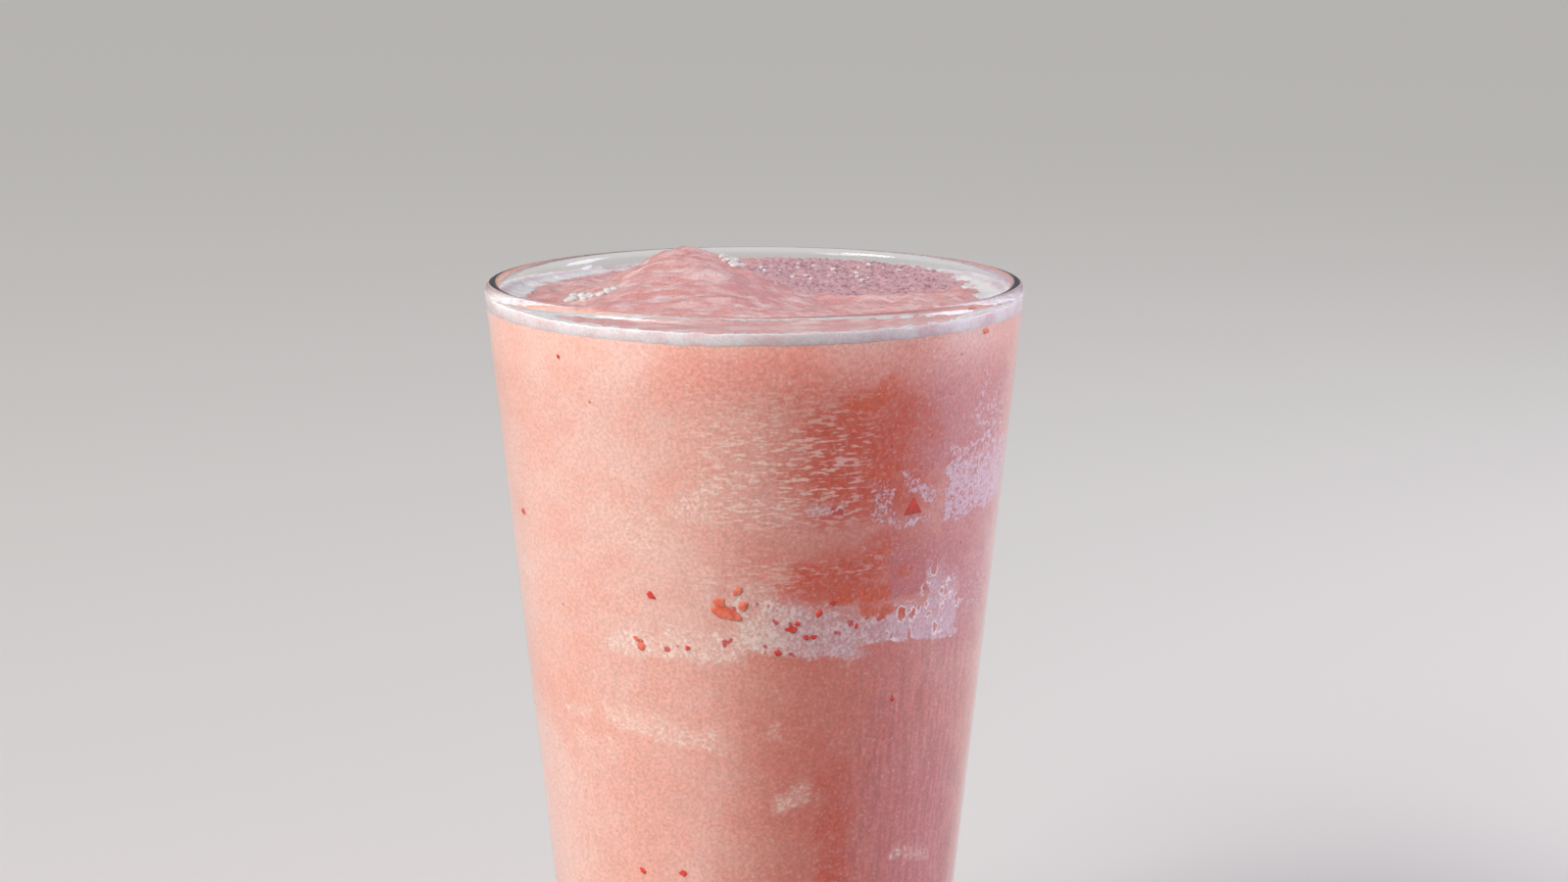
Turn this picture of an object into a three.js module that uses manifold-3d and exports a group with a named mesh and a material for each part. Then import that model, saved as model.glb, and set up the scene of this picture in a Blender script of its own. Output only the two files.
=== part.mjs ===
// A frozen strawberry lemonade in a tapered drinking glass: the glass, the frozen drink that
// fills it almost to the lip with a soft peak on top, and the ring of pale froth round its edge.
// Millimetres, +Z up, origin at the centre of the foot on the table. The viewer stands at -Y.
import * as THREE from "three";
import { mergeVertices } from "three/addons/utils/BufferGeometryUtils.js";
import Module from "manifold-3d";

const wasm = await Module();
wasm.setup();

// The glass: a 16 ounce mixing glass.
const GLASS_HEIGHT = 149.2;
const RIM_RADIUS = 44.45;
const FOOT_RADIUS = 30.15;
const LIP_THICKNESS = 2.7;
const WALL_AT_FLOOR = 3.7; // wall thickness where the wall meets the floor
const FLOOR_HEIGHT = 15; // solid glass under the drink
const FLOOR_DISH = 1.5; // how much lower the middle of the inner floor lies
const FLOOR_CORNER = 11; // height of the curve from the inner floor up into the wall
const FOOT_EDGE = 2.4; // radius of the outer edge of the foot
const PUNT_RADIUS = 21; // hollow under the foot
const PUNT_DEPTH = 2.2;

// The drink and its froth. Heights are above the lip, and directions are in degrees from +X.
const FIT_GAP = 0.3; // clearance between two neighbouring solids
const DRINK_LEVEL = -2.9; // surface of the drink near the wall
const BACK_RISE = 1.2; // how much higher it lies at the back, right of the peak
const FROTH_BOTTOM = -4.5; // where the froth ends inside the drink
const FROTH_TOE = 0.1; // height of the ring's inner edge above the drink
const FROTH_CLEARANCE = 0.9; // how far inside the ring the drink starts to rise to its surface
const DRINK_SHOULDER = 1.6; // over what distance it rises
// Height of the froth on the wall, round the glass: [direction, height].
const FROTH_TOPS = [
  [0, -1.3],
  [20, -1.4],
  [45, -2],
  [75, -2.1],
  [105, -2.1],
  [140, -2.1],
  [165, -1.4],
  [182, -1.1],
  [205, -1.9],
  [230, -2.5],
  [310, -2.5],
  [340, -1.9],
];
// Width of the froth ring, round the glass: [direction, width].
const FROTH_WIDTHS = [
  [5, 4.9],
  [25, 4.6],
  [50, 3],
  [90, 2],
  [130, 2.4],
  [165, 3.8],
  [185, 3.9],
  [212, 2.4],
  [240, 1.3],
  [300, 1.3],
  [325, 2],
];
// The waves of its inner edge: how many go round, their depth and where they start.
const FROTH_WAVES = [
  { count: 5, depth: 0.25, start: 1 },
  { count: 11, depth: 0.2, start: 0 },
];

// The peak that the last pour left, left of the middle and towards the back.
const PEAK = { x: -12, y: 11, top: 3.8, roundness: 0.26, fall: 1.5 };
// How far its mound reaches, round the peak: [direction, distance].
const PEAK_REACHES = [
  [0, 15],
  [45, 13],
  [90, 13],
  [135, 14],
  [180, 18],
  [222, 24],
  [255, 40],
  [285, 46],
  [312, 34],
  [335, 24],
];
// The crevice where its right flank folds over.
const CREVICE = { from: [-9.5, 12.8], to: [-3.4, 8.6], depth: 1.1, halfWidth: 1.5 };
// The hollow beside it, edged by the raised fold where the slush curled over.
const POOL = { x: 17, y: 22, radius: 25, depth: 0.3, edge: 2.2, fold: 0.55, foldWidth: 3.2 };
const SWIRL_PITCH = 6.5; // distance between the flow ripples round the peak
const SWIRL_RELIEF = 0.2;
const GRAIN_RELIEF = 0.35; // lumps of coarse ice in the hollow
const GRAIN_PITCH = 4.2;
const GRAIN_TURNS = [0.3, 1.4, 2.5]; // directions of the three waves that make up the lumps

// Loose crumbs of ice that lie on the surface: centre and reach of each scatter.
const ICE_SCATTERS = [
  { x: -26.5, y: -5.5, along: 4.2, across: 1.8, count: 9 },
  { x: -3.6, y: 6.5, along: 2.6, across: 2.2, count: 6 },
  { x: -5, y: 33, along: 3.6, across: 2.2, count: 7 },
];
const ICE_SIZE = { least: 0.55, most: 1.15 };

const TURN_STEPS = 72; // facets round the axis
const SURFACE_RINGS = 27; // rings across the top of the drink

const lipRadius = LIP_THICKNESS / 2;
const wallSlope = (RIM_RADIUS - FOOT_RADIUS) / (GLASS_HEIGHT - lipRadius);
const outerRadius = (z) => FOOT_RADIUS + wallSlope * z;

// Inner radius of the glass, along the wall's straight part.
function innerRadius(z) {
  const share = (z - FLOOR_HEIGHT) / (GLASS_HEIGHT - FLOOR_HEIGHT);
  return outerRadius(z) - THREE.MathUtils.lerp(WALL_AT_FLOOR, LIP_THICKNESS, share);
}

const smooth = (from, to, value) => THREE.MathUtils.smoothstep(value, from, to);
const bell = (distance) => (distance < 1 ? (1 - distance) ** 2 * (1 + 2 * distance) : 0);

// A repeatable source of numbers from 0 to 1.
function randomSource(seed) {
  let state = seed;
  return () => {
    state = (state * 1664525 + 1013904223) % 4294967296;
    return state / 4294967296;
  };
}

// A profile of points (radius, height), turned round the vertical axis.
function turned(points) {
  const geometry = new THREE.LatheGeometry(points, TURN_STEPS);
  geometry.rotateX(Math.PI / 2);
  return geometry;
}

// The inside of the glass from its axis to the height given, drawn in by the gap.
function cavityProfile(gap, top) {
  const floor = FLOOR_HEIGHT + gap;
  const corner = FLOOR_CORNER - gap;
  const wallFoot = innerRadius(floor + corner) - gap;
  const profile = new THREE.Path();
  profile.moveTo(0, floor - FLOOR_DISH);
  profile.lineTo((wallFoot - corner) / 2, floor - FLOOR_DISH * 0.7);
  profile.quadraticCurveTo(wallFoot - corner / 2.2, floor, wallFoot, floor + corner);
  profile.lineTo(innerRadius(top) - gap, top);
  return profile.getPoints(6);
}

function glassProfile() {
  const outside = new THREE.Path();
  outside.moveTo(0, PUNT_DEPTH);
  outside.quadraticCurveTo(PUNT_RADIUS * 0.7, PUNT_DEPTH, PUNT_RADIUS, 0);
  outside.lineTo(FOOT_RADIUS - FOOT_EDGE, 0);
  outside.quadraticCurveTo(outerRadius(0), 0, outerRadius(FOOT_EDGE), FOOT_EDGE);
  outside.lineTo(outerRadius(GLASS_HEIGHT - lipRadius), GLASS_HEIGHT - lipRadius);
  const lipCentre = outerRadius(GLASS_HEIGHT - lipRadius) - lipRadius;
  outside.absarc(lipCentre, GLASS_HEIGHT - lipRadius, lipRadius, 0, Math.PI);
  const inside = cavityProfile(0, GLASS_HEIGHT - lipRadius * 1.5);
  return [...outside.getPoints(6), ...inside.reverse()];
}

// The value of a table [direction, value] at an angle, with smooth steps between its entries.
function around(table, angle) {
  const turn = (THREE.MathUtils.radToDeg(angle) + 720) % 360;
  const after = table.findIndex(([direction]) => direction > turn);
  const [from, low] = table.at(after === -1 ? -1 : after - 1);
  const [to, high] = table[Math.max(after, 0)];
  const span = (to - from + 360) % 360;
  const share = ((turn - from + 360) % 360) / span;
  return THREE.MathUtils.lerp(low, high, smooth(0, 1, share));
}

function frothWidth(angle) {
  let width = around(FROTH_WIDTHS, angle);
  for (const wave of FROTH_WAVES) {
    width += wave.depth * Math.sin(wave.count * angle + wave.start);
  }
  return width;
}

// Depth of the crevice at a place, from 0 to 1.
function inCrevice(x, y) {
  const [x0, y0] = CREVICE.from;
  const [x1, y1] = CREVICE.to;
  const length = Math.hypot(x1 - x0, y1 - y0);
  const along = ((x - x0) * (x1 - x0) + (y - y0) * (y1 - y0)) / length;
  const share = THREE.MathUtils.clamp(along / length, 0, 1);
  const away = Math.hypot(x - x0 - share * (x1 - x0), y - y0 - share * (y1 - y0));
  return bell(away / CREVICE.halfWidth);
}

// Lumps of coarse ice, from -1 to 1: three waves that cross each other.
function grain(x, y) {
  let sum = 0;
  for (const turn of GRAIN_TURNS) {
    const along = x * Math.cos(turn) + y * Math.sin(turn);
    sum += Math.sin((along / GRAIN_PITCH) * 2 * Math.PI * (1 + turn / 5));
  }
  return sum / GRAIN_TURNS.length;
}

// Level of the drink's surface above the lip, without the mound.
const levelAt = (x, y) => DRINK_LEVEL + BACK_RISE * smooth(5, 38, y) * smooth(-22, -8, x);

// Height of the drink's surface above the lip, away from the froth.
function surfaceHeight(x, y) {
  const rim = Math.hypot(x, y) / innerRadius(GLASS_HEIGHT);
  const calm = 1 - smooth(0.78, 0.95, rim);
  const level = levelAt(x, y);
  const dx = x - PEAK.x;
  const dy = y - PEAK.y;
  const fromPeak = Math.hypot(dx, dy);
  const share = fromPeak / around(PEAK_REACHES, Math.atan2(dy, dx));
  const slope = Math.max(1 - Math.hypot(share, PEAK.roundness), 0) / (1 - PEAK.roundness);
  const fromEdge = Math.hypot(x - POOL.x, y - POOL.y) - POOL.radius;
  const inPool = smooth(0, POOL.edge, -fromEdge);
  const fold = bell(Math.abs(fromEdge - POOL.foldWidth / 3) / POOL.foldWidth);
  const ripple = Math.sin((fromPeak / SWIRL_PITCH) * 2 * Math.PI + Math.atan2(dy, dx));
  return (
    level +
    (PEAK.top - level) * slope ** PEAK.fall * (1 - 0.75 * inPool) -
    CREVICE.depth * inCrevice(x, y) +
    (POOL.fold * fold - POOL.depth * inPool) * calm +
    SWIRL_RELIEF * ripple * calm * (1 - inPool) +
    GRAIN_RELIEF * grain(x, y) * inPool * calm
  );
}

// The drink: the cavity filled up to the froth, its top pressed into the shape of the surface.
function drinkCore() {
  const ledge = GLASS_HEIGHT + FROTH_BOTTOM - FIT_GAP;
  const side = cavityProfile(FIT_GAP, ledge);
  const edge = side.at(-1).x;
  const top = [];
  for (let i = 1; i <= SURFACE_RINGS; i++) {
    top.push(new THREE.Vector2(edge * (1 - i / SURFACE_RINGS), ledge));
  }
  const geometry = turned([...side, ...top]);
  const place = geometry.getAttribute("position");
  for (let i = 0; i < place.count; i++) {
    const x = place.getX(i);
    const y = place.getY(i);
    const radius = Math.hypot(x, y);
    const ringInside = edge - frothWidth(Math.atan2(y, x)) - FROTH_CLEARANCE;
    if (place.getZ(i) > ledge - 0.01 && radius < ringInside) {
      const lift = smooth(0, DRINK_SHOULDER, ringInside - radius);
      const height = GLASS_HEIGHT + surfaceHeight(x, y);
      place.setZ(i, THREE.MathUtils.lerp(ledge, height, lift));
    }
  }
  return solidOf(geometry);
}

function solidOf(geometry) {
  const bare = new THREE.BufferGeometry();
  bare.setAttribute("position", geometry.getAttribute("position"));
  bare.setIndex(geometry.index ?? null);
  const merged = mergeVertices(bare, 1e-3);
  return new wasm.Manifold(
    new wasm.Mesh({
      numProp: 3,
      vertProperties: merged.getAttribute("position").array,
      triVerts: new Uint32Array(merged.index.array),
    }),
  );
}

function geometryOf(solid) {
  const mesh = solid.getMesh();
  const geometry = new THREE.BufferGeometry();
  geometry.setAttribute("position", new THREE.BufferAttribute(mesh.vertProperties, 3));
  geometry.setIndex(new THREE.BufferAttribute(mesh.triVerts, 1));
  return geometry;
}

// One crumb of ice: a rough lump, flattened and half sunk in the surface.
function iceCrumb(x, y, random) {
  const size = THREE.MathUtils.lerp(ICE_SIZE.least, ICE_SIZE.most, random());
  const lump = new THREE.IcosahedronGeometry(size, 0);
  lump.scale(1 + 0.5 * random(), 1, 0.75);
  lump.rotateZ(random() * Math.PI);
  lump.translate(x, y, GLASS_HEIGHT + surfaceHeight(x, y) + size * 0.3);
  return solidOf(lump);
}

function iceCrumbs() {
  const random = randomSource(7);
  const crumbs = [];
  for (const scatter of ICE_SCATTERS) {
    for (let i = 0; i < scatter.count; i++) {
      const turn = i * 2.4;
      const reach = Math.sqrt((i + 0.5) / scatter.count);
      const x = scatter.x + scatter.along * reach * Math.cos(turn);
      const y = scatter.y + scatter.across * reach * Math.sin(turn);
      crumbs.push(iceCrumb(x, y, random));
    }
  }
  return crumbs;
}

function drinkGeometry() {
  return geometryOf(iceCrumbs().reduce((whole, crumb) => whole.add(crumb), drinkCore()));
}

// The froth: a ring that lies on the drink's ledge against the wall and climbs the wall a little.
function frothGeometry() {
  const bottom = GLASS_HEIGHT + FROTH_BOTTOM;
  const outer = innerRadius(bottom) - FIT_GAP;
  // The section: how far in from the wall, and how high between the drink's level and the
  // froth's top, both as shares. A point below the level keeps its place under the froth.
  const section = [
    [0, -1],
    [0, 1],
    [0.12, 0.9],
    [0.35, 0.4],
    [0.7, 0.1],
    [1, 0],
    [1, -1],
    [0, -1],
  ];
  const geometry = turned(section.map(([share, rise]) => new THREE.Vector2(outer - share, rise)));
  const place = geometry.getAttribute("position");
  for (let i = 0; i < place.count; i++) {
    const x = place.getX(i);
    const y = place.getY(i);
    const rise = place.getZ(i);
    const radius = Math.hypot(x, y);
    const angle = Math.atan2(y, x);
    const share = outer - radius;
    const toe = GLASS_HEIGHT + DRINK_LEVEL + FROTH_TOE;
    const top = GLASS_HEIGHT + around(FROTH_TOPS, angle);
    const height = rise < 0 ? bottom : THREE.MathUtils.lerp(toe, top, rise);
    const lean = wallSlope * (height - bottom) * (1 - share);
    const drawn = outer - share * frothWidth(angle) + lean;
    place.setXYZ(i, (x * drawn) / radius, (y * drawn) / radius, height);
  }
  return geometry;
}

function part(name, geometry, material) {
  const mesh = new THREE.Mesh(geometry, material);
  mesh.name = name;
  return mesh;
}

const clearGlass = new THREE.MeshStandardMaterial({
  color: 0xe9f1f0,
  roughness: 0.03,
  metalness: 0,
  transparent: true,
  opacity: 0.35,
});
const pinkSlush = new THREE.MeshStandardMaterial({
  color: 0xe2a090,
  roughness: 0.45,
  metalness: 0,
});
const paleFroth = new THREE.MeshStandardMaterial({
  color: 0xefdcdc,
  roughness: 0.35,
  metalness: 0,
});

const drink = new THREE.Group();
drink.add(part("glass", turned(glassProfile()), clearGlass));
drink.add(part("frozen_lemonade", drinkGeometry(), pinkSlush));
drink.add(part("froth_ring", frothGeometry(), paleFroth));

export default drink;
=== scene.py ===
import math
import random

import bmesh
import bpy
from mathutils import Euler, Matrix, Vector, noise


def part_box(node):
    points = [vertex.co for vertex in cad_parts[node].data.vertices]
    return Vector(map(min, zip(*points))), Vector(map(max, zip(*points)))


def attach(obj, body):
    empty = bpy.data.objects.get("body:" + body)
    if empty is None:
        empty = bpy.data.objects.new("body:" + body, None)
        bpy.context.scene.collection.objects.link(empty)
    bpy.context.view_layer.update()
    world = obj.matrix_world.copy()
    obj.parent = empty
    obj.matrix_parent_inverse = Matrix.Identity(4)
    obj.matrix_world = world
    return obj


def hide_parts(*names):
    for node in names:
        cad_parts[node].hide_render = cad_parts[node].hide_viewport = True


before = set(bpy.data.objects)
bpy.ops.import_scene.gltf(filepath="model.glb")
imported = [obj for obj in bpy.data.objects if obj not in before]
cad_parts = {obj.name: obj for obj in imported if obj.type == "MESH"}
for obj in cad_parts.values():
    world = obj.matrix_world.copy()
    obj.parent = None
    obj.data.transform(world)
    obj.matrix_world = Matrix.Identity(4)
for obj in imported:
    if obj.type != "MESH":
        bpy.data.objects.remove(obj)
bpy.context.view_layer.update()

MM = 0.001
FULL_TURN = 2 * math.pi

# The glass, from the frame and from the sizes of its kind
glass_low, glass_high = (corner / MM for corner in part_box("glass"))
GLASS_HEIGHT = glass_high.z
RIM_RADIUS = glass_high.x
FOOT_RADIUS = 30.15
LIP_THICKNESS = 2.7
LIP_RADIUS = LIP_THICKNESS / 2
WALL_AT_FLOOR = 3.7
FLOOR_HEIGHT = 15
FLOOR_DISH = 1.5
FLOOR_CORNER = 11
FOOT_EDGE = 2.4
PUNT_RADIUS = 21
PUNT_DEPTH = 2.2
WALL_SLOPE = (RIM_RADIUS - FOOT_RADIUS) / (GLASS_HEIGHT - LIP_RADIUS)
GLASS_STEPS = 256
LIP_STEPS = 24

# Marks on the wall: the radius that turns are measured at, and how much lower the marks of the
# side not shown are
WALL_MIDDLE_RADIUS = 38
BACK_SHIFT = 6
# Upright streaks in the drink begin at the first drop below the lip and are full at the second
STREAKS_FROM = 50
STREAKS_FULL = 60

# How far a piece reaches into the glass wall, so that no air shows between them
DRINK_IN_WALL = 0.2
FROTH_IN_WALL = 0.3

# The surface of the drink. Heights are above the lip, directions in degrees from +X
DRINK_LEVEL = -2.9
BACK_RISE = 1.2
BACK_RISE_X = (-22, -8)
BACK_RISE_Y = (5, 38)
PEAK = Vector((-12, 11))
PEAK_TOP = 3.8
PEAK_ROUNDNESS = 0.26
PEAK_FALL = 1.5
PEAK_REACHES = [
    (0, 15), (45, 13), (90, 13), (135, 14), (180, 18), (222, 24), (255, 40), (285, 46),
    (312, 34), (335, 24),
]
CREVICE_FROM = Vector((-9.5, 12.8))
CREVICE_TO = Vector((-3.4, 8.6))
CREVICE_DEPTH = 1.1
CREVICE_HALF_WIDTH = 1.5
POOL = Vector((17, 22))
POOL_RADIUS = 25
# The pool's own colour fades over this width inside its edge
POOL_COLOUR_FADE = 7
POOL_DEPTH = 0.3
POOL_EDGE = 2.2
POOL_FOLD = 0.55
POOL_FOLD_WIDTH = 3.2
SWIRL_PITCH = 6.5
SWIRL_RELIEF = 0.2
BRUSHED_RELIEF = 0.22
FLOW_RELIEF = 0.35
POOL_RELIEF = 0.45
GRAIN_RELIEF = 0.06
# How much of the peak's slope the pool takes away
POOL_CUT = 0.75
# Shares of the inner radius: the relief fades between the first two, and past the third the
# surface runs down to the top of the side
CALM_FROM = 0.78
CALM_TO = 0.95
EDGE_FROM = 0.975
SIDE_OVER_FROTH = 0.6
WALL_ROWS = 12

# The froth, in heights above the lip and widths from the wall
FROTH_BOTTOM = -4.5
FROTH_TOE = 0.1
FROTH_TOPS = [
    (0, -1.3), (20, -1.4), (45, -2), (75, -2.1), (105, -2.1), (140, -2.1), (165, -1.4),
    (182, -1.1), (205, -1.9), (230, -2.5), (310, -2.5), (340, -1.9),
]
FROTH_WIDTHS = [
    (5, 4.9), (25, 4.6), (50, 3), (90, 2), (130, 2.4), (165, 3.8), (185, 3.9), (212, 2.4),
    (240, 1.3), (300, 1.3), (325, 2),
]
FROTH_WAVES = [(5, 0.25, 1.0), (11, 0.2, 0.0)]
FROTH_WOBBLE = 0.22
FROTH_RELIEF = 0.18
BUBBLE_RELIEF = 0.12
FROTH_TOP_STEPS = 16
FROTH_TOP_CURVE = 2.2

SURFACE_CELLS = 240
FROTH_STEPS = 540


# Small helpers for shape

def smooth(start, end, value):
    """A smooth step: 0 up to start, 1 from end on."""
    share = min(max((value - start) / (end - start), 0), 1)
    return share * share * (3 - 2 * share)


def bell(distance):
    """1 at distance 0, falling smoothly to 0 at distance 1."""
    return (1 - distance) ** 2 * (1 + 2 * distance) if distance < 1 else 0


def mix(start, end, share):
    """The value a share of the way from start to end."""
    return start + (end - start) * share


def around(table, angle):
    """The value of a table (direction, value) at an angle, with smooth steps between entries."""
    turn = math.degrees(angle) % 360
    for i, (direction, value) in enumerate(table):
        before, low = table[i - 1]
        span = (direction - before) % 360
        past = (turn - before) % 360
        if past <= span:
            return mix(low, value, smooth(0, 1, past / span))
    return table[0][1]


def outer_radius(z):
    """Radius of the glass's outside at a height."""
    return FOOT_RADIUS + WALL_SLOPE * z


def inner_radius(z):
    """Radius of the glass's inside at a height. The wall is thicker towards the floor."""
    share = (z - FLOOR_HEIGHT) / (GLASS_HEIGHT - FLOOR_HEIGHT)
    return outer_radius(z) - mix(WALL_AT_FLOOR, LIP_THICKNESS, share)


def curve(start, control, end, steps=10):
    """Points (radius, height) of a curve that leaves start and reaches end along control."""
    points = []
    for i in range(steps + 1):
        t = i / steps
        here = [
            (1 - t) ** 2 * a + 2 * t * (1 - t) * b + t * t * c
            for a, b, c in zip(start, control, end)
        ]
        points.append(tuple(here))
    return points


def cavity_profile(gap, top):
    """The inside of the glass from its axis up to top, drawn in by gap."""
    floor = FLOOR_HEIGHT + gap
    corner = FLOOR_CORNER - gap
    wall_foot = inner_radius(floor + corner) - gap
    middle = ((wall_foot - corner) / 2, floor - FLOOR_DISH * 0.7)
    bend = (wall_foot - corner / 2.2, floor)
    points = [(0, floor - FLOOR_DISH)]
    points += curve(middle, bend, (wall_foot, floor + corner), 14)
    points.append((inner_radius(top) - gap, top))
    return points


def turn_profile(shape, points, steps):
    """Spins a profile of points (radius, height) once round the axis."""
    line = [shape.verts.new((radius, 0, height)) for radius, height in points]
    edges = [shape.edges.new(pair) for pair in zip(line, line[1:])]
    bmesh.ops.spin(
        shape,
        geom=line + edges,
        cent=(0, 0, 0),
        axis=(0, 0, 1),
        angle=FULL_TURN,
        steps=steps,
        use_merge=True,
    )
    bmesh.ops.remove_doubles(shape, verts=shape.verts, dist=0.001)


def finish_piece(shape, name, materials, replaced=None):
    """Turns a shape in millimetres into a smooth piece in metres that rides on the body."""
    bmesh.ops.recalc_face_normals(shape, faces=shape.faces)
    bmesh.ops.scale(shape, vec=(MM, MM, MM), verts=shape.verts)
    mesh = bpy.data.meshes.new(name)
    shape.to_mesh(mesh)
    shape.free()
    mesh.shade_smooth()
    for material in materials:
        mesh.materials.append(material)
    piece = bpy.data.objects.new(name, mesh)
    bpy.context.scene.collection.objects.link(piece)
    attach(piece, "root")
    if replaced:
        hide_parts(replaced)
    return piece


# Helpers for materials. Patterns read Object coordinates in millimetres.

def node(tree, kind, inputs=None, **settings):
    """Adds a node. An input is a value, or an output socket to link."""
    made = tree.nodes.new(kind)
    for label, value in settings.items():
        setattr(made, label, value)
    for label, value in (inputs or {}).items():
        if isinstance(value, bpy.types.NodeSocket):
            tree.links.new(value, made.inputs[label])
        else:
            made.inputs[label].default_value = value
    return made


def sum_of(tree, operation, *values):
    """A Math node: values are numbers or sockets."""
    return node(
        tree, "ShaderNodeMath", dict(enumerate(values)), operation=operation
    ).outputs[0]


def share_of(tree, mask, share):
    """A mask made weaker by a share, or by another mask."""
    return sum_of(tree, "MULTIPLY", mask, share)


def blend(tree, factor, first, second, kind="MIX"):
    """Mixes two colours. The colour sockets of a Mix node are 6 and 7, and its result is 2."""
    made = node(
        tree,
        "ShaderNodeMix",
        {0: factor, 6: first, 7: second},
        data_type="RGBA",
        blend_type=kind,
    )
    return made.outputs[2]


def ramp(tree, value, start, end, low=0.0, high=1.0):
    """A smooth step of value from low at start to high at end."""
    return node(
        tree,
        "ShaderNodeMapRange",
        {
            "Value": value,
            "From Min": start,
            "From Max": end,
            "To Min": low,
            "To Max": high,
        },
        interpolation_type="SMOOTHSTEP",
    ).outputs[0]


def place_in_mm(tree):
    """Object coordinates in millimetres."""
    place = node(tree, "ShaderNodeTexCoord").outputs["Object"]
    return node(
        tree, "ShaderNodeVectorMath", {0: place, "Scale": 1 / MM}, operation="SCALE"
    ).outputs[0]


def open_group(name, inputs, output):
    """A new node group: returns its tree, the sockets of its inputs and its output socket."""
    tree = bpy.data.node_groups.new(name, "ShaderNodeTree")
    for label, default in inputs.items():
        kind = "NodeSocketVector" if isinstance(default, tuple) else "NodeSocketFloat"
        socket = tree.interface.new_socket(label, in_out="INPUT", socket_type=kind)
        socket.default_value = default
    tree.interface.new_socket(output, in_out="OUTPUT", socket_type="NodeSocketFloat")
    source = node(tree, "NodeGroupInput").outputs
    sink = node(tree, "NodeGroupOutput").inputs[0]
    return tree, source, sink


def use_group(tree, group, **inputs):
    """Places a group and returns its output. An input's name has _ for a space."""
    made = node(tree, "ShaderNodeGroup", node_tree=group)
    for label, value in inputs.items():
        socket = made.inputs[label.replace("_", " ").capitalize()]
        if isinstance(value, bpy.types.NodeSocket):
            tree.links.new(value, socket)
        else:
            socket.default_value = value
    return made.outputs[0]


def speckle_group():
    """Fine lumps: noise stretched by a factor along each axis, from 0 to 1 round 0.5."""
    tree, source, sink = open_group(
        "Ice speckle",
        {"Size": 1.0, "Stretch": (1.0, 1.0, 1.0), "Detail": 2.0, "Start": 0.0},
        "Value",
    )
    stretched = node(
        tree,
        "ShaderNodeVectorMath",
        {0: place_in_mm(tree), 1: source["Stretch"]},
        operation="DIVIDE",
    ).outputs[0]
    moved = node(
        tree,
        "ShaderNodeVectorMath",
        {0: stretched, 1: source["Start"]},
        operation="ADD",
    ).outputs[0]
    scale = sum_of(tree, "DIVIDE", 1.0, source["Size"])
    value = node(
        tree,
        "ShaderNodeTexNoise",
        {"Vector": moved, "Scale": scale, "Detail": source["Detail"], "Roughness": 0.6},
    ).outputs[0]
    tree.links.new(value, sink)
    return tree


def patch_group():
    """A patch on the wall: a level foot, sides and a top that fades. Lengths are in mm. The side
    not shown has the same patches half a turn round and BACK_SHIFT lower."""
    tree, source, sink = open_group(
        "Wall patch",
        {
            "Facing": (0.0, -1.0, 0.0),
            "Sideways": (1.0, 0.0, 0.0),
            "Foot": 100.0,
            "Width": 10.0,
            "Rise": 10.0,
            "Lean": 0.0,
            "Softness": 1.0,
            "Ragged": 1.0,
            "Noise": 0.0,
        },
        "Mask",
    )
    place = place_in_mm(tree)
    axes = node(tree, "ShaderNodeSeparateXYZ", {0: place}).outputs
    behind = sum_of(tree, "GREATER_THAN", axes["Y"], 0.0)
    half_turn = sum_of(tree, "MULTIPLY_ADD", behind, -2.0, 1.0)
    folded = node(
        tree, "ShaderNodeVectorMath", {0: place, "Scale": half_turn}, operation="SCALE"
    ).outputs[0]
    lower = ramp(tree, axes["Y"], 0.0, WALL_MIDDLE_RADIUS, 0.0, BACK_SHIFT)
    height = sum_of(tree, "ADD", axes["Z"], lower)
    along = []
    for label in ("Facing", "Sideways"):
        along.append(
            node(
                tree,
                "ShaderNodeVectorMath",
                {0: folded, 1: source[label]},
                operation="DOT_PRODUCT",
            ).outputs["Value"]
        )
    turn = sum_of(tree, "ARCTAN2", along[1], along[0])
    across = sum_of(tree, "MULTIPLY", turn, WALL_MIDDLE_RADIUS)
    ragged = sum_of(tree, "MULTIPLY", source["Noise"], source["Ragged"])
    up = sum_of(tree, "SUBTRACT", height, source["Foot"])
    up = sum_of(tree, "MULTIPLY_ADD", across, source["Lean"], up)
    sideways = sum_of(tree, "ADD", sum_of(tree, "ABSOLUTE", across), ragged)
    soft_sides = sum_of(tree, "MULTIPLY", source["Softness"], 2.0)
    inner = sum_of(tree, "SUBTRACT", source["Width"], soft_sides)
    sides = ramp(tree, sideways, inner, source["Width"], 1.0, 0.0)
    ragged_up = sum_of(tree, "ADD", up, ragged)
    top_start = sum_of(tree, "MULTIPLY", source["Rise"], 0.4)
    top = ramp(tree, ragged_up, top_start, source["Rise"], 1.0, 0.0)
    ragged_foot = sum_of(tree, "MULTIPLY_ADD", ragged, 0.35, up)
    below = sum_of(tree, "MULTIPLY", source["Softness"], -0.5)
    foot = ramp(tree, ragged_foot, below, sum_of(tree, "MULTIPLY", source["Softness"], 0.5))
    mask = sum_of(tree, "MULTIPLY", sum_of(tree, "MULTIPLY", sides, top), foot)
    tree.links.new(mask, sink)
    return tree


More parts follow.
